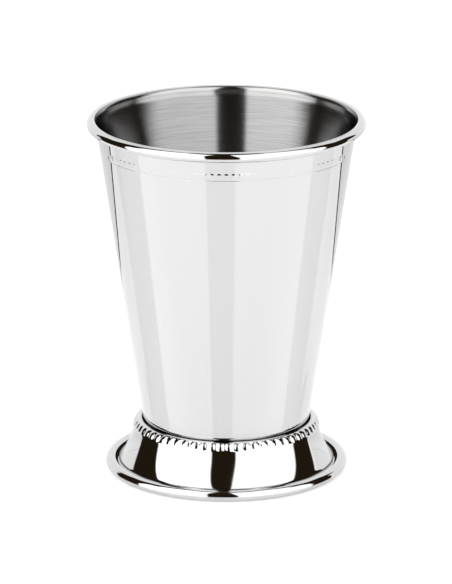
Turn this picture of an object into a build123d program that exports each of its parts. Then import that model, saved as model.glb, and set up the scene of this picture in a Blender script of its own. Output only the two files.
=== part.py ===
"""Julep cup: a drawn tapered cup with a curled lip, soldered into a pressed foot with a beaded collar."""

import os
from math import acos, asin, atan2, cos, degrees, pi, radians, sin, sqrt, tan

from build123d import *

# Cup body, in millimetres
cup_height = 115.0  # from the table to the top of the lip
lip_diameter = 88.0  # outside of the curled lip
lip_roll = 3.3  # thickness of the curled lip
curl_gap = 0.15  # between the end of the curl and the wall
cup_sheet = 0.5  # thickness of the drawn sheet
floor_diameter = 52.1  # outer wall carried down to the underside of the floor
floor_height = 12.8  # from the table to the underside of the floor
floor_corner = 2.0  # outside radius between floor and wall
line_drop = 9.8  # from the top of the lip down to the incised line
line_width = 0.4
line_depth = 0.06

# Foot, in millimetres and degrees
foot_diameter = 77.2  # outside of the rolled edge
collar_rise = 3.8  # from the underside of the floor to the crest of the collar
foot_sheet = 0.6  # thickness of the pressed sheet
seat_clearance = 0.15  # all round the cup's bottom corner, filled with solder under the floor
ledge_width = 4.0  # flat ledge under the floor
crest_radius = 1.0  # outside radius of the collar's crest
land_width = 2.1  # straight conical band that carries the beads
neck_radius = 1.5  # outside radius below the beads
neck_slope = 5.5  # of the skirt's steepest stretch, from vertical
valley_radius = 0.25  # of the crease between skirt and rolled edge
valley_angle = 125.0  # where the sheet climbs from the crease onto the shoulder, from horizontal
shoulder_radius = 4.6  # of the flatter stretch between crease and rolled edge
shoulder_angle = 100.0  # where the shoulder runs into the rolled edge, from horizontal
foot_roll = 3.9  # thickness of the rolled edge
roll_wrap = 217.0  # how far the edge is rolled round, from the shoulder
rest_width = 0.9  # flat on the underside of the rolled edge

# Beads rolled into the collar, in millimetres and degrees
bead_angle = 33.0  # of the beads' axis, from horizontal
bead_diameter = 2.7
bead_height = 0.47
bead_gap = 0.15  # between neighbouring beads
bead_root = 0.25  # how deep a bead's solid is sunk into the sheet

# Solder run-out at the inner edge of the ledge, in millimetres
solder_fillet = 0.55


def ray(angle):
    """Unit vector in the section, at an angle in degrees above the outward horizontal."""
    return Vector(cos(radians(angle)), sin(radians(angle)))


# The wall's taper: its outer face touches the inside of the lip's curl
lip_radius = lip_roll / 2
lip_center = Vector(lip_diameter / 2 - lip_radius, cup_height - lip_radius)
wall_run = lip_center - Vector(floor_diameter / 2, floor_height)
taper = degrees(atan2(wall_run.X, wall_run.Y) - asin((lip_radius - cup_sheet) / wall_run.length))


def wall_radius(height, outside=0.0):
    """Radius of the wall's outer face at a height, or of a face parallel to it that far outside."""
    return floor_diameter / 2 + (height - floor_height) * tan(radians(taper)) + outside / cos(radians(taper))


# Cup body
curl_turn = 360 - degrees(acos((lip_radius - cup_sheet - curl_gap) / lip_radius))
line_height = cup_height - line_drop
line_radius = line_width**2 / (8 * line_depth) + line_depth / 2


def cup_face(depth):
    """Floor, corner, wall and curl at a depth below the sheet's inner face; gives both ends."""
    height = floor_height + cup_sheet - depth
    wall = FilletPolyline(
        (0, height),
        (wall_radius(height, depth - cup_sheet), height),
        lip_center - ray(-taper) * (lip_radius - depth),
        radius=floor_corner - cup_sheet + depth,
    )
    curl = CenterArc(lip_center, lip_radius - depth, 180 - taper, -curl_turn)
    return wall @ 0, curl @ 1


with BuildPart() as cup_body:
    with BuildSketch(Plane.XZ):
        with BuildLine():
            inner_ends = cup_face(0)
            outer_ends = cup_face(cup_sheet)
            Line(inner_ends[0], outer_ends[0])
            Line(inner_ends[1], outer_ends[1])
        make_face()
    revolve(axis=Axis.Z)
    with BuildSketch(Plane.XZ):
        with Locations((wall_radius(line_height, line_radius - line_depth), line_height)):
            Circle(line_radius)
    revolve(axis=Axis.Z, mode=Mode.SUBTRACT)
cup_body.part.label = "cup_body"

# Foot: centres of its bends, in order from the ledge to the rolled edge
seat_center = Vector(wall_radius(floor_height + floor_corner, -floor_corner), floor_height + floor_corner)
hole_radius = seat_center.X - ledge_width
foot_height = floor_height + collar_rise
crest_level = foot_height - crest_radius
crest_center = Vector(wall_radius(crest_level, seat_clearance + crest_radius), crest_level)
riser_length = (crest_center - seat_center).dot(ray(90 - taper))
land_start = crest_center + ray(bead_angle) * crest_radius
land_end = land_start + ray(bead_angle - 90) * land_width
neck_end = land_end + (ray(neck_slope) - ray(bead_angle)) * neck_radius
roll_radius = foot_roll / 2
roll_center = Vector(foot_diameter / 2 - roll_radius, sqrt(roll_radius**2 - rest_width**2 / 4))
shoulder_center = roll_center + ray(shoulder_angle) * (roll_radius - shoulder_radius)
valley_center = shoulder_center + ray(valley_angle) * (shoulder_radius + valley_radius)

# The skirt's cove leaves the neck along its slope and runs into the valley's arc
cove_reach = valley_center - neck_end
cove_offset = cove_reach.dot(ray(neck_slope)) - valley_radius
cove_radius = (cove_reach.length**2 - valley_radius**2) / (2 * cove_offset)
cove_spoke = cove_reach - ray(neck_slope) * cove_radius
cove_turn = degrees(atan2(cove_spoke.Y, cove_spoke.X)) % 360 - 180 - neck_slope


def foot_face(depth):
    """Ledge, seat, collar, skirt and rolled edge at a depth below the face that shows; gives both ends."""
    height = floor_height - seat_clearance - depth
    ledge = Line((hole_radius, height), (seat_center.X, height))
    seat = JernArc(ledge @ 1, ledge % 1, floor_corner + seat_clearance + depth, 90 - taper)
    riser = PolarLine(seat @ 1, riser_length, direction=seat % 1)
    crest = JernArc(riser @ 1, riser % 1, crest_radius - depth, bead_angle + taper - 180)
    land = PolarLine(crest @ 1, land_width, direction=crest % 1)
    neck = JernArc(land @ 1, land % 1, neck_radius - depth, neck_slope - bead_angle)
    cove = JernArc(neck @ 1, neck % 1, cove_radius + depth, cove_turn)
    valley_turn = valley_angle - neck_slope - cove_turn
    valley = JernArc(cove @ 1, cove % 1, valley_radius + depth, valley_turn)
    shoulder = JernArc(valley @ 1, valley % 1, shoulder_radius - depth, shoulder_angle - valley_angle)
    roll = JernArc(shoulder @ 1, shoulder % 1, roll_radius - depth, -roll_wrap)
    return ledge @ 0, roll @ 1


# One bead: a spherical cap on a short root
with BuildPart() as bead:
    with BuildSketch(Plane.XZ):
        with BuildLine():
            Polyline((0, bead_height), (0, -bead_root), (bead_diameter / 2, -bead_root), (bead_diameter / 2, 0))
            cap_radius = (bead_diameter**2 / 4 + bead_height**2) / (2 * bead_height)
            RadiusArc((bead_diameter / 2, 0), (0, bead_height), -cap_radius)
        make_face()
    revolve(axis=Axis.Z)

bead_seat = (land_start + land_end) / 2
bead_count = int(2 * pi * bead_seat.X / (bead_diameter + bead_gap))

with BuildPart() as foot:
    with BuildSketch(Plane.XZ):
        with BuildLine():
            shown_ends = foot_face(0)
            hidden_ends = foot_face(foot_sheet)
            Line(shown_ends[0], hidden_ends[0])
            Line(shown_ends[1], hidden_ends[1])
        make_face()
    revolve(axis=Axis.Z)
    split(bisect_by=Plane.XY, keep=Keep.TOP)
    with PolarLocations(bead_seat.X, bead_count):
        with Locations(Location((0, 0, bead_seat.Y), (0, 90 - bead_angle, 0))):
            add(bead.part)
foot.part.label = "foot"

# Solder: a film between floor and ledge that runs out at the ledge's inner edge
with BuildPart() as solder_ring:
    with BuildSketch(Plane.XZ):
        with BuildLine():
            film = Polyline(
                (hole_radius - solder_fillet, floor_height),
                (seat_center.X, floor_height),
                (seat_center.X, floor_height - seat_clearance),
                (hole_radius, floor_height - seat_clearance),
                (hole_radius, floor_height - solder_fillet),
            )
            RadiusArc(film @ 1, film @ 0, solder_fillet)
        make_face()
    revolve(axis=Axis.Z)
solder_ring.part.label = "solder_ring"

os.makedirs("parts", exist_ok=True)
export_step(cup_body.part, "parts/cup_body.step")
export_step(foot.part, "parts/foot.step")
export_step(solder_ring.part, "parts/solder_ring.step")
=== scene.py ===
"""Julep cup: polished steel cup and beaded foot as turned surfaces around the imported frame."""

from math import acos, asin, atan2, copysign, cos, hypot, pi, radians, sin, sqrt, tan

import bpy
import numpy as np
from bpy.props import FloatProperty, FloatVectorProperty, IntProperty, PointerProperty
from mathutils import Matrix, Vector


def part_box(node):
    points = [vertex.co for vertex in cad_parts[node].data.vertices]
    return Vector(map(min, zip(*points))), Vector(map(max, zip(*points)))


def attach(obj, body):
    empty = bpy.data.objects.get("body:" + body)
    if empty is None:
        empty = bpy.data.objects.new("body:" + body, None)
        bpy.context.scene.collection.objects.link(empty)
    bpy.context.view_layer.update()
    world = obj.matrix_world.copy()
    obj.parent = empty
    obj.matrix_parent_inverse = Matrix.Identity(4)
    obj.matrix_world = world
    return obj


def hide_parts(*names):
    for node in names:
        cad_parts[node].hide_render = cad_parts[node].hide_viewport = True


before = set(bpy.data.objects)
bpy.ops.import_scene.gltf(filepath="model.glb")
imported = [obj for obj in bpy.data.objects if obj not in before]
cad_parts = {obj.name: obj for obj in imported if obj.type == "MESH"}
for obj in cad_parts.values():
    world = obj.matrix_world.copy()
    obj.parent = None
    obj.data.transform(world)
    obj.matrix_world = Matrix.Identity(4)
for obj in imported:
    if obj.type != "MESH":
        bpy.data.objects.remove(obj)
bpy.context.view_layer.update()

bl_info = {
    "name": "Julep Cup",
    "version": (1, 0, 0),
    "blender": (4, 5, 0),
    "location": "3D View > Sidebar > Julep Cup",
    "description": "Builds a polished steel julep cup with a beaded foot",
    "category": "Object",
}

MM = 0.001
CUP_LOW, CUP_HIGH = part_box("cup_body")
FOOT_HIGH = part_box("foot")[1]

# Beads: their spacing over their width, and the columns of faces that each one gets
BAND_PITCH, BAND_COLUMNS = 1.05, 6
COLLAR_PITCH, COLLAR_COLUMNS = 0.97, 10

# Rows on the back of the foot's sheet, as a share of the rows on its face
BACK_ROWS = 0.4


def length(name, description, default):
    """A length property in metres."""
    return FloatProperty(name=name, description=description, default=default, unit="LENGTH", precision=5)


def angle(name, description, default):
    """An angle property, given here in degrees and kept in radians."""
    return FloatProperty(name=name, description=description, default=radians(default), unit="ROTATION")


def share(name, description, default):
    """A plain number property."""
    return FloatProperty(name=name, description=description, default=default, precision=4)


def colour(name, description, default):
    """A colour property."""
    return FloatVectorProperty(name=name, description=description, default=default, subtype="COLOR", size=3)


class CupSizes(bpy.types.PropertyGroup):
    """Sizes of the drawn cup."""

    height: length("Height", "Table to the top of the lip", CUP_HIGH.z)
    lip_diameter: length("Lip diameter", "Outside of the curled lip", 2 * CUP_HIGH.x)
    lip_roll: length("Lip roll", "Thickness of the curled lip", 3.3 * MM)
    curl_gap: length("Curl gap", "Between the end of the curl and the wall", 0.15 * MM)
    sheet: length("Sheet", "Thickness of the drawn sheet", 0.5 * MM)
    floor_diameter: length("Floor diameter", "Outer wall carried down to the floor", 52.1 * MM)
    floor_height: length("Floor height", "Table to the underside of the floor", CUP_LOW.z)
    floor_corner: length("Floor corner", "Outside radius between floor and wall", 2.0 * MM)
    line_drop: length("Line drop", "Top of the lip down to the incised line", 9.8 * MM)
    line_width: length("Line width", "Width of the incised line", 0.16 * MM)
    line_depth: length("Line depth", "Depth of the incised line", 0.02 * MM)
    band_drop: length("Band drop", "Top of the lip down to the middle of the bead band", 8.4 * MM)
    band_width: length("Band width", "Height of the band's beads", 2.2 * MM)
    band_relief: length("Band relief", "How far the band's beads stand out", 0.058 * MM)
    band_count: IntProperty(name="Band beads", description="Beads round the band", default=112)
    satin_turn: angle("Satin turn", "How far the satin inside runs up the curl of the lip", 60.0)
    # Painted highlight: the next two place the step to a brighter steel colour inside just under the lip,
    # standing for the soft band of light there; the grooves' lean also ends at that step
    highlight_drop: length("Bright drop", "Top of the lip down to where the brushing fades out", 2.8 * MM)
    highlight_fade: length("Bright fade", "Half height of the step where the brushing fades out", 0.6 * MM)


class FootSizes(bpy.types.PropertyGroup):
    """Sizes of the pressed foot."""

    height: length("Height", "Table to the crest of the collar", FOOT_HIGH.z)
    diameter: length("Diameter", "Outside of the rolled edge", 2 * FOOT_HIGH.x)
    sheet: length("Sheet", "Thickness of the pressed sheet", 0.6 * MM)
    seat_clearance: length("Seat clearance", "All round the cup's bottom corner", 0.15 * MM)
    ledge_width: length("Ledge width", "Flat ledge under the cup's floor", 4.0 * MM)
    crest_radius: length("Crest radius", "Outside radius of the collar's crest", 1.0 * MM)
    land_width: length("Land width", "Straight band that carries the beads", 2.1 * MM)
    neck_radius: length("Neck radius", "Outside radius below the beads", 1.5 * MM)
    neck_slope: angle("Neck slope", "Steepest stretch of the skirt, from vertical", 5.5)
    valley_radius: length("Valley radius", "Crease between skirt and rolled edge", 0.25 * MM)
    valley_angle: angle("Valley angle", "Where the sheet climbs onto the shoulder", 125.0)
    shoulder_radius: length("Shoulder radius", "Flatter stretch from crease to rolled edge", 4.6 * MM)
    shoulder_angle: angle("Shoulder angle", "Where the shoulder runs into the rolled edge", 100.0)
    roll: length("Roll", "Thickness of the rolled edge", 3.9 * MM)
    roll_wrap: angle("Roll wrap", "How far the edge is rolled round from the shoulder", 217.0)
    rest_width: length("Rest width", "Flat on the underside of the rolled edge", 0.9 * MM)
    bead_angle: angle("Bead angle", "Axis of the beads, from horizontal", 33.0)
    bead_count: IntProperty(name="Beads", description="Beads round the collar", default=64)
    bead_width: length("Bead width", "Height of a bead along the collar", 2.8 * MM)
    bead_relief: length("Bead relief", "How far a bead stands out of its channel", 0.34 * MM)
    bead_channel: length("Bead channel", "Depth of the channel that the beads stand in", 0.05 * MM)
    bead_turn: angle("Bead turn", "Turn of the bead row about the axis", 1.85)


class Finish(bpy.types.PropertyGroup):
    """Colours and gloss of the metal."""

    steel: colour("Polished steel", "Mirror finish of the outside", (0.625, 0.625, 0.624))
    brushed: colour("Brushed steel", "Satin finish of the inside", (0.365, 0.364, 0.363))
    # Painted highlight: a brighter steel colour for the soft band of light inside just below the lip
    bright: colour("Bright steel", "Inside just below the lip", (0.496, 0.495, 0.492))
    solder: colour("Solder", "Dull grey joint under the floor", (0.56, 0.56, 0.55))
    gloss: share("Polish roughness", "Roughness of the mirror finish", 0.035)
    smear: share("Smears", "Roughness that smears add to the mirror finish", 0.03)
    # Painted shade: the next two set how far and how dark the steel's colour is painted darker in the gap
    # at the joint with the foot and in the foot's crease
    painted_shade: length("Residue", "How far polish left in the joint and the crease reaches", 0.35 * MM)
    painted_shade_level: share("Residue level", "Brightness of the residue, as a share of the steel's", 0.12)
    satin: share("Satin roughness", "Roughness of the brushed inside", 0.155)
    satin_spread: share("Satin spread", "Roughness that the streaks add to the brushed inside", 0.08)
    streak_count: share("Streak count", "Brushed streaks in a metre up the wall", 5600.0)
    streak_breaks: share("Streak breaks", "Breaks in a metre along a streak", 70.0)
    streak_depth: length("Streak depth", "Depth of the brushed streaks", 0.0032 * MM)
    streak_level: share("Streak level", "Brightness of a dark streak, as a share of a light one's", 0.76)
    groove_lean: angle("Groove lean", "How far the brushed grooves lean the inside's face up", 13.0)
    lump_level: share("Lump level", "Brightness of the solder's hollows, as a share of its lumps'", 0.7)


class Stage(bpy.types.PropertyGroup):
    """Light, table and camera."""

    level_left: share("Left level", "Brightness of the light panels on the left", 1.95)
    level_right: share("Right level", "Brightness of the light panels on the right", 1.6)
    backdrop: share("Backdrop level", "Brightness of the white backdrop behind the cup", 1.1)
    backdrop_low: share("Low backdrop", "Share of the backdrop's brightness below the table's edge", 0.84)
    front_left: angle("Front gap left", "Left edge of the dark gap in front, from straight ahead", -17.4)
    front_right: angle("Front gap right", "Right edge of the dark gap in front", 11.2)
    front_lean: angle("Front gap lean", "How far the front gap leans left from the horizon to the top", 4.0)
    right_front: angle("Right gap front", "Front edge of the dark gap on the right", 88.5)
    right_back: angle("Right gap back", "Back edge of the dark gap on the right", 117.5)
    left_front: angle("Left gap front", "Front edge of the dark gap on the left", -90.0)
    left_back: angle("Left gap back", "Back edge of the dark gap on the left", -124.5)
    gap_soft: angle("Gap softness", "Softness of the gaps' edges", 1.2)
    backdrop_edge: angle("Backdrop edge", "Where the backdrop begins at both sides", 119.0)
    backdrop_soft: angle("Backdrop softness", "Softness of the backdrop's edges", 2.0)
    overhead_start: share("Overhead start", "Height on the unit surround where it begins to darken", 0.94)
    overhead_end: share("Overhead end", "Height on the unit surround where the overhead gap is dark", 0.97)
    low_start: share("Low start", "Height on the unit surround where the backdrop is still low", -0.26)
    low_end: share("Low end", "Height on the unit surround where the backdrop is at its level", -0.1)
    dark: colour("Dark gaps", "Gaps between the light panels", (0.0195, 0.0134, 0.0077))
    table: colour("Table", "White glossy sheet that the cup stands on", (0.93, 0.93, 0.93))
    table_glow: share("Table glow", "Light that comes through the white table", 0.36)
    table_reach: length("Table reach", "Half width of the ground that the camera sees", 4.0)
    table_front: length("Table front", "Front edge of the white table, from the axis", 0.25)
    table_back: length("Table back", "Back edge of the white table, from the axis", 0.165)
    table_side: length("Table side", "Side edges of the white table, from the axis", 0.30)
    table_edge: length("Table edge", "Softness of the table's edges", 0.0008)
    graze_low: angle("Graze low", "Flatter rays from the metal pass through the table", 12.0)
    graze_high: angle("Graze high", "Steeper rays from the metal see the whole table", 20.0)
    shade_level: share("Shade level", "Share of the glow left close to the foot and far behind", 0.6)
    shade_start: length("Shade start", "Radius where the shade round the foot begins to fade", 0.036)
    shade_end: length("Shade end", "Radius where the shade round the foot has faded", 0.06)
    dim_start: length("Dim start", "Distance behind the axis where the glow begins to dim", 0.04)
    dim_end: length("Dim end", "Distance behind the axis where the glow is dim", 0.13)
    dim_share: share("Dim share", "How far the glow dims behind the cup, towards the shade level", 0.9)
    ground: share("Ground", "Grey of the ground that the camera sees", 0.5)
    ground_glow: share("Ground glow", "Light added to that ground, up to white", 0.62)
    rim_width: length("Rim width", "Dark rim along the back edge of the table", 0.012)
    rim_clear: length("Rim clearance", "Metal nearer than this doesn't see the dark rim", 0.205)
    rim_soft: length("Rim softness", "Softness of that clearance", 0.01)
    card_back: length("Card back", "Small black card behind the cup, from the axis", 0.08)
    card_side: length("Card side", "Half width of the small card", 0.028)
    card_low: length("Card low edge", "Lower edge of the small card", 0.007)
    card_high: length("Card high edge", "Upper edge of the small card at its sides", 0.017)
    card_peak: length("Card peak", "Upper edge of the small card in the middle", 0.05)
    flag_side: length("Flag side", "Black cards at the sides, from the axis", 0.277)
    flag_front: length("Flag front edge", "Front of the side cards' lower edge, behind the axis", 0.03)
    flag_lean: length("Flag lean", "How far the side cards' front edge comes forward", 0.12)
    flag_back: length("Flag back edge", "Back of the side cards, behind the axis", 0.19)
    flag_low: length("Flag low edge", "Lower edge of the side cards", 0.112)
    flag_high: length("Flag high edge", "Upper edge of the side cards", 0.30)
    wing_side: length("Wing side", "Small black cards behind the mouth, from the axis", 0.0425)
    wing_front: length("Wing front edge", "Front of the small side cards, behind the axis", 0.05)
    wing_back: length("Wing back edge", "Back of the small side cards, behind the axis", 0.095)
    wing_low: length("Wing low edge", "Lower edge of the small side cards", 0.095)
    wing_high: length("Wing high edge", "Upper edge of the small side cards", 0.2)
    card_clear: length("Card clearance", "Metal nearer than this doesn't see the black cards", 0.075)
    camera_distance: length("Camera distance", "Camera in front of the axis", 1.5)
    camera_height: length("Camera height", "Camera above the table", 0.50625)
    camera_pitch: angle("Camera pitch", "Camera below the horizon", 16.6473)
    camera_lens: share("Camera lens", "Focal length in millimetres on a 36 mm sensor", 303.31)
    camera_shift: share("Camera shift", "Sideways shift in frame lengths", -0.000505)


# Turned shapes


def follow(start, heading, steps):
    """Points, headings and travel along straight and circular steps in the section.

    A step is (size, turn, rows). With no turn, size is its length: p = start + size t (cos h, sin h).
    With a turn, size is its radius and the heading h grows evenly: p = centre + side size (sin h, -cos h),
    where side is +1 for a left turn and -1 for a right turn.
    """
    points, headings, travels = [np.array([start])], [np.array([heading])], [np.zeros(1)]
    start, travel = np.array(start), 0.0
    for size, turn, rows in steps:
        t = np.linspace(0, 1, rows + 1)[1:]
        h = heading + turn * t
        if turn:
            side = copysign(size, turn)
            centre = start + side * np.array([-sin(heading), cos(heading)])
            run = centre + side * np.column_stack([np.sin(h), -np.cos(h)])
            step = size * abs(turn)
        else:
            run = start + size * np.outer(t, [cos(heading), sin(heading)])
            step = size
        points.append(run)
        headings.append(h)
        travels.append(travel + step * t)
        start, heading, travel = run[-1], h[-1], travel + step
    return np.concatenate(points), np.concatenate(headings), np.concatenate(travels)


def back_side(steps, sheet, rows):
    """The same steps along the other face of a sheet, from the far end back, with a share of the rows."""
    return [
        (size + copysign(sheet, turn) if turn else size, -turn, max(2, round(count * rows)))
        for size, turn, count in reversed(steps)
    ]


def beads(middle, travel, count, columns, width, pitch):
    """A row of rounded beads of height 1: 1 - (pitch a)^2 - b^2, cut off at 0.

    Round the axis, a runs from 0 at a bead's middle to 1 half way to the next, in columns per bead.
    Along the section, b = 2 (travel - middle) / width.
    """
    a = np.arange(columns) / columns
    a = np.tile(np.minimum(a, 1 - a) * 2, count)
    b = 2 * (travel - middle) / width
    return np.clip(1 - (a * pitch)[None, :] ** 2 - b[:, None] ** 2, 0, None)


def turned_mesh(name, points, headings, relief, turn, poles):
    """A closed surface of revolution: section points, moved out by relief along their normals, round Z.

    x = r cos a, y = r sin a, in even columns of a. What would reach below the table is cut flat at z = 0.
    With poles, the first and last points lie on the axis and close the ends; without them the last row
    joins the first.
    """
    tips = points[[0, -1], 1]
    if poles:
        points, headings, relief = points[1:-1], headings[1:-1], relief[1:-1]
    rows, columns = relief.shape
    a = turn + 2 * pi * np.arange(columns) / columns
    r = points[:, :1] - relief * np.sin(headings)[:, None]
    z = np.maximum(points[:, 1:] + relief * np.cos(headings)[:, None], 0)
    corners = np.stack([r * np.cos(a), r * np.sin(a), z], -1).reshape(-1, 3)
    grid = np.arange(rows * columns).reshape(rows, columns)
    first, second = (grid[:-1], grid[1:]) if poles else (grid, np.roll(grid, -1, 0))
    quads = np.stack([first, second, np.roll(second, -1, 1), np.roll(first, -1, 1)], -1).reshape(-1, 4)
    loops, sizes = [quads.ravel()], [np.full(len(quads), 4)]
    if poles:
        corners = np.concatenate([corners, [[0, 0, tips[0]], [0, 0, tips[1]]]])
        start, end = np.full(columns, rows * columns), np.full(columns, rows * columns + 1)
        loops.append(np.stack([start, grid[0], np.roll(grid[0], -1)], -1).ravel())
        loops.append(np.stack([end, np.roll(grid[-1], -1), grid[-1]], -1).ravel())
        sizes.append(np.full(2 * columns, 3))
    loops, sizes = np.concatenate(loops), np.concatenate(sizes)
    mesh = bpy.data.meshes.new(name)
    mesh.vertices.add(len(corners))
    mesh.vertices.foreach_set("co", corners.ravel())
    mesh.loops.add(len(loops))
    mesh.loops.foreach_set("vertex_index", loops.astype(np.int32))
    mesh.polygons.add(len(sizes))
    mesh.polygons.foreach_set("loop_start", (np.cumsum(sizes) - sizes).astype(np.int32))
    mesh.update(calc_edges=True)
    mesh.polygons.foreach_set("use_smooth", np.ones(len(sizes), bool))
    return mesh


def cup_wall(cup):
    """The wall's taper and, in the section, the centres of the lip's curl and the bottom corner."""
    lip = np.array([cup.lip_diameter / 2 - cup.lip_roll / 2, cup.height - cup.lip_roll / 2])
    run = lip - np.array([cup.floor_diameter / 2, cup.floor_height])
    taper = atan2(*run) - asin((cup.lip_roll / 2 - cup.sheet) / hypot(*run))
    corner_height = cup.floor_height + cup.floor_corner
    corner = np.array([wall_radius(cup, taper, corner_height, -cup.floor_corner), corner_height])
    return taper, lip, corner


def wall_radius(cup, taper, height, outside):
    """Radius at a height of a face parallel to the wall's outer face, that far outside it."""
    return cup.floor_diameter / 2 + (height - cup.floor_height) * tan(taper) + outside / cos(taper)


def cup_mesh(cup):
    """The cup's sheet as one closed surface, from the middle of the floor over the lip to its underside.

    The bead band adds relief (1 - (pitch a)^2 - b^2) to the outer wall, and the incised line takes away
    depth (1 - b^2), with b = 2 (z - middle) / width. Faces inside below the lip get the second material.
    """
    taper, lip, corner = cup_wall(cup)
    lip_radius = cup.lip_roll / 2
    curl = 2 * pi - acos((lip_radius - cup.sheet - cup.curl_gap) / lip_radius)
    rise = (lip - corner) @ np.array([sin(taper), cos(taper)])
    top = lip[1] + (lip_radius - cup.sheet) * sin(taper)
    band, line = cup.height - cup.band_drop, cup.height - cup.line_drop
    # Dense rows reach a little past the band's and the line's edges
    band_reach, line_reach = 0.65 * cup.band_width, 0.8 * cup.line_width
    marks = [top, band + band_reach, band - band_reach, line + line_reach, line - line_reach]
    drops = [(high - low) / cos(taper) for high, low in zip(marks, marks[1:])]
    bottom = pi / 2 - taper
    points, headings, travels = follow(
        [0.0, cup.floor_height + cup.sheet],
        0.0,
        [
            (corner[0], 0, 5),  # floor
            (cup.floor_corner - cup.sheet, bottom, 6),  # corner inside
            (rise, 0, 14),  # wall inside
            (lip_radius, -curl, 40),  # lip
            (cup.sheet / 2, -pi, 4),  # end of the curl
            (lip_radius - cup.sheet, curl, 12),  # back of the curl
            (drops[0], 0, 4),  # wall outside, down to the band
            (drops[1], 0, 18),  # bead band
            (drops[2], 0, 2),  # between band and line
            (drops[3], 0, 16),  # incised line
            (rise - sum(drops), 0, 14),  # wall below the line
            (cup.floor_corner, -bottom, 6),  # corner outside
            (corner[0], 0, 5),  # underside
        ],
    )
    outside = np.isclose(headings, -pi / 2 - taper)
    heights = points[:, 1]
    across = 2 * (heights - line) / cup.line_width
    relief = -cup.line_depth * np.clip(1 - across**2, 0, None)[:, None]
    row = beads(band, heights, cup.band_count, BAND_COLUMNS, cup.band_width, BAND_PITCH)
    relief = relief + cup.band_relief * row
    mesh = turned_mesh("cup", points, headings, relief * outside[:, None], 0.0, True)
    satin_end = corner[0] + (cup.floor_corner - cup.sheet) * bottom + rise + lip_radius * cup.satin_turn
    inside = travels < satin_end
    columns = BAND_COLUMNS * cup.band_count
    faces = np.repeat(inside[2:-1], columns)
    ends = np.repeat([True, False], columns)
    mesh.polygons.foreach_set("material_index", np.concatenate([faces, ends]).astype(np.int32))
    return mesh


def ray(turn):
    """Unit vector in the section, at an angle above the outward horizontal."""
    return np.array([cos(turn), sin(turn)])


def foot_bends(foot, cup):
    """Centre of the foot's crest, end of its neck and centre of its valley, in the section."""
    taper = cup_wall(cup)[0]
    crest_height = foot.height - foot.crest_radius
    crest_reach = wall_radius(cup, taper, crest_height, foot.seat_clearance + foot.crest_radius)
    crest = np.array([crest_reach, crest_height])
    neck = crest + ray(foot.bead_angle) * (foot.crest_radius - foot.neck_radius)
    neck = neck + ray(foot.bead_angle - pi / 2) * foot.land_width + ray(foot.neck_slope) * foot.neck_radius
    roll_radius = foot.roll / 2
    roll = np.array([foot.diameter / 2 - roll_radius, sqrt(roll_radius**2 - foot.rest_width**2 / 4)])
    shoulder = roll + ray(foot.shoulder_angle) * (roll_radius - foot.shoulder_radius)
    valley = shoulder + ray(foot.valley_angle) * (foot.shoulder_radius + foot.valley_radius)
    return crest, neck, valley


def foot_mesh(foot, cup):
    """The foot's sheet as one closed surface: ledge, seat, collar, skirt, rolled edge and back underneath.

    The beads add relief (1 - (pitch a)^2 - b^2) on a channel of depth (1 - b^4), with
    b = 2 (travel - middle) / width.
    """
    taper, _, corner = cup_wall(cup)
    crest, neck, valley = foot_bends(foot, cup)
    riser = (crest - corner) @ np.array([sin(taper), cos(taper)])
    reach, slope = valley - neck, ray(foot.neck_slope)
    cove = (reach @ reach - foot.valley_radius**2) / (2 * (reach @ slope - foot.valley_radius))
    spoke = reach - slope * cove
    cove_turn = atan2(spoke[1], spoke[0]) % (2 * pi) - pi - foot.neck_slope
    shown = [
        (foot.ledge_width, 0, 2),  # ledge
        (cup.floor_corner + foot.seat_clearance, pi / 2 - taper, 6),  # seat
        (riser, 0, 2),  # up along the cup's wall
        (foot.crest_radius, foot.bead_angle + taper - pi, 14),  # crest
        (foot.land_width, 0, 14),  # land with the beads
        (foot.neck_radius, foot.neck_slope - foot.bead_angle, 6),  # neck
        (cove, cove_turn, 14),  # skirt
        (foot.valley_radius, foot.valley_angle - foot.neck_slope - cove_turn, 8),  # crease
        (foot.shoulder_radius, foot.shoulder_angle - foot.valley_angle, 8),  # shoulder
        (foot.roll / 2, -foot.roll_wrap, 28),  # rolled edge
    ]
    cap = [(foot.sheet / 2, -pi, 4)]
    start = [corner[0] - foot.ledge_width, cup.floor_height - foot.seat_clearance]
    hidden = back_side(shown, foot.sheet, BACK_ROWS)
    # The last point is the first again
    points, headings, travels = (part[:-1] for part in follow(start, 0.0, shown + cap + hidden + cap))
    # The beads sit in the middle of the land, the fifth step
    lengths = [size * abs(turn) if turn else size for size, turn, _ in shown]
    middle = sum(lengths[:4]) + lengths[4] / 2
    across = 2 * (travels - middle) / foot.bead_width
    relief = -foot.bead_channel * np.clip(1 - across**4, 0, None)[:, None]
    row = beads(middle, travels, foot.bead_count, COLLAR_COLUMNS, foot.bead_width, COLLAR_PITCH)
    relief = relief + foot.bead_relief * row
    return turned_mesh("foot", points, headings, relief, foot.bead_turn - pi / 2, False)


# Shaders


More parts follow.
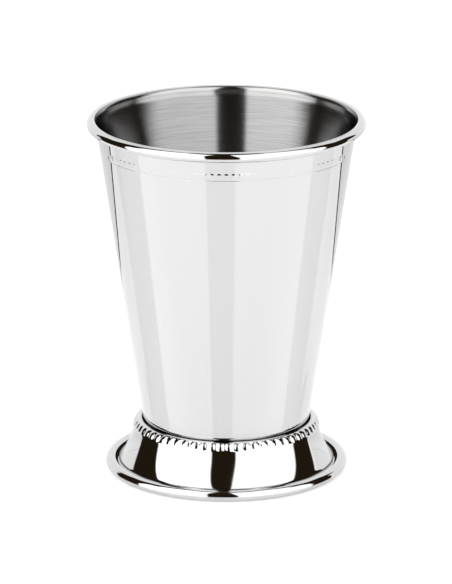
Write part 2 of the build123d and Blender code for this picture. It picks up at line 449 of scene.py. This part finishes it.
class Value:
    """An output in a node tree; arithmetic on it adds Math nodes to the tree."""

    def __init__(self, tree, socket=None):
        self.tree, self.socket = tree, socket

    def node(self, kind, sockets={}, output=0, **settings):
        """A node of this kind: its settings first, then its sockets' values or links. Gives one output."""
        new = self.tree.nodes.new(kind)
        for name, value in settings.items():
            setattr(new, name, value)
        for name, value in sockets.items():
            if isinstance(value, Value):
                self.tree.links.new(value.socket, new.inputs[name])
            else:
                new.inputs[name].default_value = value
        return Value(self.tree, new.outputs[output] if new.outputs else None)

    def math(self, operation, *terms):
        """A Math node on numbers and values."""
        return self.node("ShaderNodeMath", dict(enumerate(terms)), operation=operation)

    def __add__(self, other):
        return self.math("ADD", self, other)

    def __radd__(self, other):
        return self.math("ADD", other, self)

    def __sub__(self, other):
        return self.math("SUBTRACT", self, other)

    def __rsub__(self, other):
        return self.math("SUBTRACT", other, self)

    def __mul__(self, other):
        return self.math("MULTIPLY", self, other)

    def __rmul__(self, other):
        return self.math("MULTIPLY", other, self)

    def axes(self):
        """The three parts of a vector."""
        parts = self.node("ShaderNodeSeparateXYZ", {0: self}).socket.node.outputs
        return [Value(self.tree, part) for part in parts]

    def rises(self, low, high):
        """0 below low, 1 above high, smooth between."""
        ends = {"Value": self, "From Min": low, "From Max": high}
        return self.node("ShaderNodeMapRange", ends, interpolation_type="SMOOTHSTEP")

    def between(self, low, high, soft):
        """1 between low and high, with edges this soft."""
        return self.rises(low - soft, low + soft) * (1 - self.rises(high - soft, high + soft))

    def blend(self, low, high):
        """A colour between low and high, with this value as the factor."""
        return self.node("ShaderNodeMix", {0: self, 6: low, 7: high}, 2, data_type="RGBA")

    def noise(self, place, scale, detail):
        """Noise from 0 to 1 at a place."""
        return self.node("ShaderNodeTexNoise", {"Vector": place, "Scale": scale, "Detail": detail})


def new_tree(holder):
    """An empty node tree on a material or world."""
    holder.use_nodes = True
    holder.node_tree.nodes.clear()
    return Value(holder.node_tree)


def new_material(name):
    """A material of this name, new or made before, and its empty node tree."""
    made = bpy.data.materials.get(name) or bpy.data.materials.new(name)
    return made, new_tree(made)


def rgba(value, level=1.0):
    """A colour property with full alpha, at a share of its brightness."""
    return (*(part * level for part in value), 1.0)


def grey(level):
    """A grey with full alpha."""
    return (level, level, level, 1.0)


def polished_steel(finish, cup, foot):
    """Mirror steel with faint waves from forming, smears in its gloss, and painted shade: a darker colour
    in the gap at the joint with the foot and in the foot's crease.
    """
    made, tree = new_material("polished_steel_visual")
    place = tree.node("ShaderNodeTexCoord", output="Object")
    smears = tree.noise(place, scale=90.0, detail=4.0).rises(0.45, 0.75)
    waves = tree.noise(place, scale=55.0, detail=1.0)
    bump = tree.node("ShaderNodeBump", {"Height": waves, "Strength": 0.25, "Distance": 0.00005})
    x, y, z = place.axes()
    radius = tree.math("SQRT", x * x + y * y)
    joint_height = foot.height - finish.painted_shade
    joint = wall_radius(cup, cup_wall(cup)[0], joint_height, 2 * foot.seat_clearance), joint_height
    crease = foot_bends(foot, cup)[2]

    def painted_shade_round(middle):
        """1 close to a ring through this point of the section, 0 away from it."""
        across, along = radius - middle[0], z - middle[1]
        apart = tree.math("SQRT", across * across + along * along)
        return 1 - apart.rises(0.7 * finish.painted_shade, finish.painted_shade)

    # Painted shade: darker steel colour in rings along the joint with the foot and along the foot's crease
    painted_shade = painted_shade_round(joint) + painted_shade_round(crease)
    shader = tree.node(
        "ShaderNodeBsdfPrincipled",
        {
            "Base Color": painted_shade.blend(rgba(finish.steel), rgba(finish.steel, finish.painted_shade_level)),
            "Metallic": 1.0,
            "Roughness": finish.gloss + finish.smear * smears,
            "Normal": bump,
        },
    )
    tree.node("ShaderNodeOutputMaterial", {"Surface": shader})
    return made


def brushed_steel(finish, cup):
    """Satin steel brushed round the axis: streaks follow z + r, and the grooves' flanks catch the light.

    Near the lip the grooves fade out, and the steel's brighter colour there is a painted highlight.
    """
    made, tree = new_material("brushed_steel_visual")
    x, y, z = tree.node("ShaderNodeTexCoord", output="Object").axes()
    radius = tree.math("SQRT", x * x + y * y)
    breaks, up = finish.streak_breaks, (z + radius) * finish.streak_count
    place = tree.node("ShaderNodeCombineXYZ", {0: x * breaks, 1: y * breaks, 2: up})
    streaks = tree.noise(place, scale=1.0, detail=3.0)
    dark, light = rgba(finish.brushed, finish.streak_level), rgba(finish.brushed)
    brushed = streaks.rises(0.3, 0.7).blend(dark, light)
    bright, fade = cup.height - cup.highlight_drop, cup.highlight_fade
    # Painted highlight: a brighter steel colour above this height stands for the soft band of light under
    # the lip
    metal = z.rises(bright - fade, bright + fade).blend(brushed, rgba(finish.bright))
    lean = tree.math("SMOOTH_MIN", z, bright, 2 * fade) * tan(finish.groove_lean)
    grooves = streaks * finish.streak_depth - lean
    bump = tree.node("ShaderNodeBump", {"Height": grooves, "Strength": 1.0, "Distance": 1.0})
    shader = tree.node(
        "ShaderNodeBsdfPrincipled",
        {
            "Base Color": metal,
            "Metallic": 1.0,
            "Roughness": finish.satin + finish.satin_spread * streaks,
            "Specular Tint": (0.1, 0.1, 0.1, 1.0),
            "Anisotropic": 0.92,
            "Anisotropic Rotation": 0.25,
            "Normal": bump,
        },
    )
    tree.node("ShaderNodeOutputMaterial", {"Surface": shader})
    return made


def dull_solder(finish):
    """Grey solder with a slightly lumpy, frosted face."""
    made, tree = new_material("solder_visual")
    place = tree.node("ShaderNodeTexCoord", output="Object")
    lumps = tree.noise(place, scale=700.0, detail=3.0)
    bump = tree.node("ShaderNodeBump", {"Height": lumps, "Strength": 0.5, "Distance": 0.0001})
    dark, light = rgba(finish.solder, finish.lump_level), rgba(finish.solder)
    shader = tree.node(
        "ShaderNodeBsdfPrincipled",
        {
            "Base Color": lumps.rises(0.35, 0.65).blend(dark, light),
            "Metallic": 1.0,
            "Roughness": 0.35 + 0.2 * lumps,
            "Normal": bump,
        },
    )
    tree.node("ShaderNodeOutputMaterial", {"Surface": shader})
    return made


def studio_world(stage):
    """White surround with dark gaps in front, at both sides and overhead; plain white to the camera."""
    world = bpy.data.worlds.get("studio") or bpy.data.worlds.new("studio")
    tree = new_tree(world)
    x, y, z = tree.node("ShaderNodeTexCoord", output="Generated").axes()
    azimuth = tree.math("ARCTAN2", x, 0 - y)
    lean = z.rises(0.0, 1.0) * stage.front_lean
    front = (azimuth + lean).between(stage.front_left, stage.front_right, stage.gap_soft)
    right = azimuth.between(stage.right_front, stage.right_back, stage.gap_soft)
    left = azimuth.between(stage.left_back, stage.left_front, stage.gap_soft)
    above = z.rises(stage.overhead_start, stage.overhead_end)
    gaps = tree.math("MAXIMUM", tree.math("MAXIMUM", front, above), tree.math("MAXIMUM", left, right))
    edge, soft = stage.backdrop_edge, stage.backdrop_soft
    back = tree.math("ABSOLUTE", azimuth).rises(edge - soft, edge + soft)
    panel = x.rises(-1.0, 1.0).blend(grey(stage.level_left), grey(stage.level_right))
    low = grey(stage.backdrop * stage.backdrop_low)
    backdrop = z.rises(stage.low_start, stage.low_end).blend(low, grey(stage.backdrop))
    white = back.blend(panel, backdrop)
    camera = tree.node("ShaderNodeLightPath", output="Is Camera Ray")
    seen = camera.blend(gaps.blend(white, rgba(stage.dark)), grey(1.0))
    shader = tree.node("ShaderNodeBackground", {"Color": seen})
    tree.node("ShaderNodeOutputWorld", {"Surface": shader})
    return world


def table_material(stage):
    """White glossy sheet for what the metal mirrors; to the camera a white ground that keeps the shadow."""
    made, tree = new_material("table_visual")
    x, y, _ = tree.node("ShaderNodeTexCoord", output="Object").axes()
    edge = stage.table_edge
    sheet = x.between(-stage.table_side, stage.table_side, edge)
    sheet = sheet * y.between(-stage.table_front, stage.table_back, edge)
    climb = tree.node("ShaderNodeNewGeometry", output="Incoming").axes()[2]
    steep = climb.rises(sin(stage.graze_low), sin(stage.graze_high))
    white = rgba(stage.table)
    gloss = tree.node("ShaderNodeBsdfPrincipled", {"Base Color": white, "Roughness": 0.03, "IOR": 1.5})
    clear = tree.math("SQRT", x * x + y * y).rises(stage.shade_start, stage.shade_end)
    dim = stage.dim_share * y.rises(stage.dim_start, stage.dim_end)
    shaded = (clear - dim).blend(grey(stage.shade_level), grey(1.0))
    glow = tree.node("ShaderNodeEmission", {"Color": shaded, "Strength": stage.table_glow})
    lit = tree.node("ShaderNodeAddShader", {0: gloss, 1: glow})
    away = tree.node("ShaderNodeLightPath", output="Ray Length")
    rim = y.between(stage.table_back, stage.table_back + stage.rim_width, edge)
    rim = rim * away.rises(stage.rim_clear - stage.rim_soft, stage.rim_clear + stage.rim_soft)
    black = tree.node("ShaderNodeBsdfDiffuse", {"Color": grey(0.0)})
    open_air = tree.node("ShaderNodeBsdfTransparent")
    beyond = tree.node("ShaderNodeMixShader", {0: rim, 1: open_air, 2: black})
    mirrored = tree.node("ShaderNodeMixShader", {0: sheet * steep, 1: beyond, 2: lit})
    matt = tree.node("ShaderNodeBsdfDiffuse", {"Color": grey(stage.ground)})
    light = tree.node("ShaderNodeEmission", {"Strength": stage.ground_glow})
    ground = tree.node("ShaderNodeAddShader", {0: matt, 1: light})
    camera = tree.node("ShaderNodeLightPath", output="Is Camera Ray")
    shader = tree.node("ShaderNodeMixShader", {0: camera, 1: mirrored, 2: ground})
    tree.node("ShaderNodeOutputMaterial", {"Surface": shader})
    return made


def card_material(stage):
    """Black card that only metal some way off sees."""
    made, tree = new_material("card_visual")
    away = tree.node("ShaderNodeLightPath", output="Ray Length")
    far = tree.math("GREATER_THAN", away, stage.card_clear)
    mirrored = far * tree.node("ShaderNodeLightPath", output="Is Glossy Ray")
    black = tree.node("ShaderNodeEmission", {"Color": rgba(stage.dark)})
    open_air = tree.node("ShaderNodeBsdfTransparent")
    shader = tree.node("ShaderNodeMixShader", {0: mirrored, 1: open_air, 2: black})
    tree.node("ShaderNodeOutputMaterial", {"Surface": shader})
    return made


# Operators


def new_object(name, data):
    """An object in the scene's own collection, in place of one that was made before."""
    old = bpy.data.objects.get(name)
    if old:
        bpy.data.objects.remove(old)
    made = bpy.data.objects.new(name, data)
    bpy.context.scene.collection.objects.link(made)
    return made


def black_card(name, corners, stage):
    """A flat card on the stage that only the metal sees."""
    mesh = bpy.data.meshes.new(name)
    mesh.from_pydata(corners, [], [range(len(corners))])
    card = new_object(name, mesh)
    card.data.materials.append(card_material(stage))


def black_cards(stage):
    """The small card behind the cup, with its peak, and two pairs of cards at the sides."""
    side, low, high = stage.card_side, stage.card_low, stage.card_high
    outline = [(-side, low), (side, low), (side, high), (0, stage.card_peak), (-side, high)]
    black_card("back_card", [(x, stage.card_back, z) for x, z in outline], stage)
    front, back, low, high = stage.flag_front, stage.flag_back, stage.flag_low, stage.flag_high
    flag = [(front, low), (back, low), (back, high), (front - stage.flag_lean, high)]
    front, back, low, high = stage.wing_front, stage.wing_back, stage.wing_low, stage.wing_high
    wing = [(front, low), (back, low), (back, high), (front, high)]
    for name, side, outline in (("card", stage.flag_side, flag), ("wing", stage.wing_side, wing)):
        black_card("left_" + name, [(-side, y, z) for y, z in outline], stage)
        black_card("right_" + name, [(side, y, z) for y, z in outline], stage)


class JULEP_OT_cup(bpy.types.Operator):
    """Build the drawn cup with its curled lip, bead band and incised line."""

    bl_idname = "julep.cup"
    bl_label = "Build Cup"

    def execute(self, context):
        scene = context.scene
        piece = new_object("cup", cup_mesh(scene.julep_cup))
        piece.data.materials.append(polished_steel(scene.julep_finish, scene.julep_cup, scene.julep_foot))
        piece.data.materials.append(brushed_steel(scene.julep_finish, scene.julep_cup))
        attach(piece, "root")
        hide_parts("cup_body")
        return {"FINISHED"}


class JULEP_OT_foot(bpy.types.Operator):
    """Build the pressed foot with its beaded collar and rolled edge."""

    bl_idname = "julep.foot"
    bl_label = "Build Foot"

    def execute(self, context):
        scene = context.scene
        piece = new_object("pressed_foot", foot_mesh(scene.julep_foot, scene.julep_cup))
        piece.data.materials.append(polished_steel(scene.julep_finish, scene.julep_cup, scene.julep_foot))
        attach(piece, "root")
        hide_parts("foot")
        return {"FINISHED"}


class JULEP_OT_solder(bpy.types.Operator):
    """Give the solder ring under the floor its dull grey face."""

    bl_idname = "julep.solder"
    bl_label = "Dress Solder"

    def execute(self, context):
        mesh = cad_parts["solder_ring"].data
        mesh.materials.clear()
        mesh.materials.append(dull_solder(context.scene.julep_finish))
        return {"FINISHED"}


class JULEP_OT_stage(bpy.types.Operator):
    """Set up the white table, the light and the camera."""

    bl_idname = "julep.stage"
    bl_label = "Build Stage"

    def execute(self, context):
        scene, stage = context.scene, context.scene.julep_stage
        far = stage.table_reach
        corners = [(-far, -far, 0), (far, -far, 0), (far, far, 0), (-far, far, 0)]
        mesh = bpy.data.meshes.new("table")
        mesh.from_pydata(corners, [], [range(len(corners))])
        floor = new_object("table", mesh)
        floor.data.materials.append(table_material(stage))
        black_cards(stage)
        scene.world = studio_world(stage)
        camera = bpy.data.cameras.new("camera")
        camera.sensor_width = 36.0
        camera.lens = stage.camera_lens
        camera.shift_x = stage.camera_shift
        eye = new_object("camera", camera)
        eye.location = (0.0, -stage.camera_distance, stage.camera_height)
        eye.rotation_euler = (pi / 2 - stage.camera_pitch, 0.0, 0.0)
        scene.camera = eye
        scene.view_settings.view_transform = "Standard"
        return {"FINISHED"}


class JULEP_PT_panel(bpy.types.Panel):
    """Sizes, finishes and stage of the julep cup."""

    bl_idname = "JULEP_PT_panel"
    bl_label = "Julep Cup"
    bl_space_type = "VIEW_3D"
    bl_region_type = "UI"
    bl_category = "Julep Cup"

    def draw(self, context):
        scene = context.scene
        for group, operator in (
            (scene.julep_cup, JULEP_OT_cup),
            (scene.julep_foot, JULEP_OT_foot),
            (scene.julep_finish, JULEP_OT_solder),
            (scene.julep_stage, JULEP_OT_stage),
        ):
            box = self.layout.box()
            for name in group.bl_rna.properties.keys():
                if name not in {"rna_type", "name"}:
                    box.prop(group, name)
            box.operator(operator.bl_idname)


GROUPS = {"julep_cup": CupSizes, "julep_foot": FootSizes, "julep_finish": Finish, "julep_stage": Stage}
OPERATORS = (JULEP_OT_cup, JULEP_OT_foot, JULEP_OT_solder, JULEP_OT_stage)


def register():
    for name, group in GROUPS.items():
        bpy.utils.register_class(group)
        setattr(bpy.types.Scene, name, PointerProperty(type=group))
    for operator in OPERATORS:
        bpy.utils.register_class(operator)
    bpy.utils.register_class(JULEP_PT_panel)


def unregister():
    bpy.utils.unregister_class(JULEP_PT_panel)
    for operator in reversed(OPERATORS):
        bpy.utils.unregister_class(operator)
    for name, group in reversed(GROUPS.items()):
        delattr(bpy.types.Scene, name)
        bpy.utils.unregister_class(group)


def main():
    register()
    bpy.ops.julep.cup()
    bpy.ops.julep.foot()
    bpy.ops.julep.solder()
    bpy.ops.julep.stage()


if __name__ == "__main__":
    main()
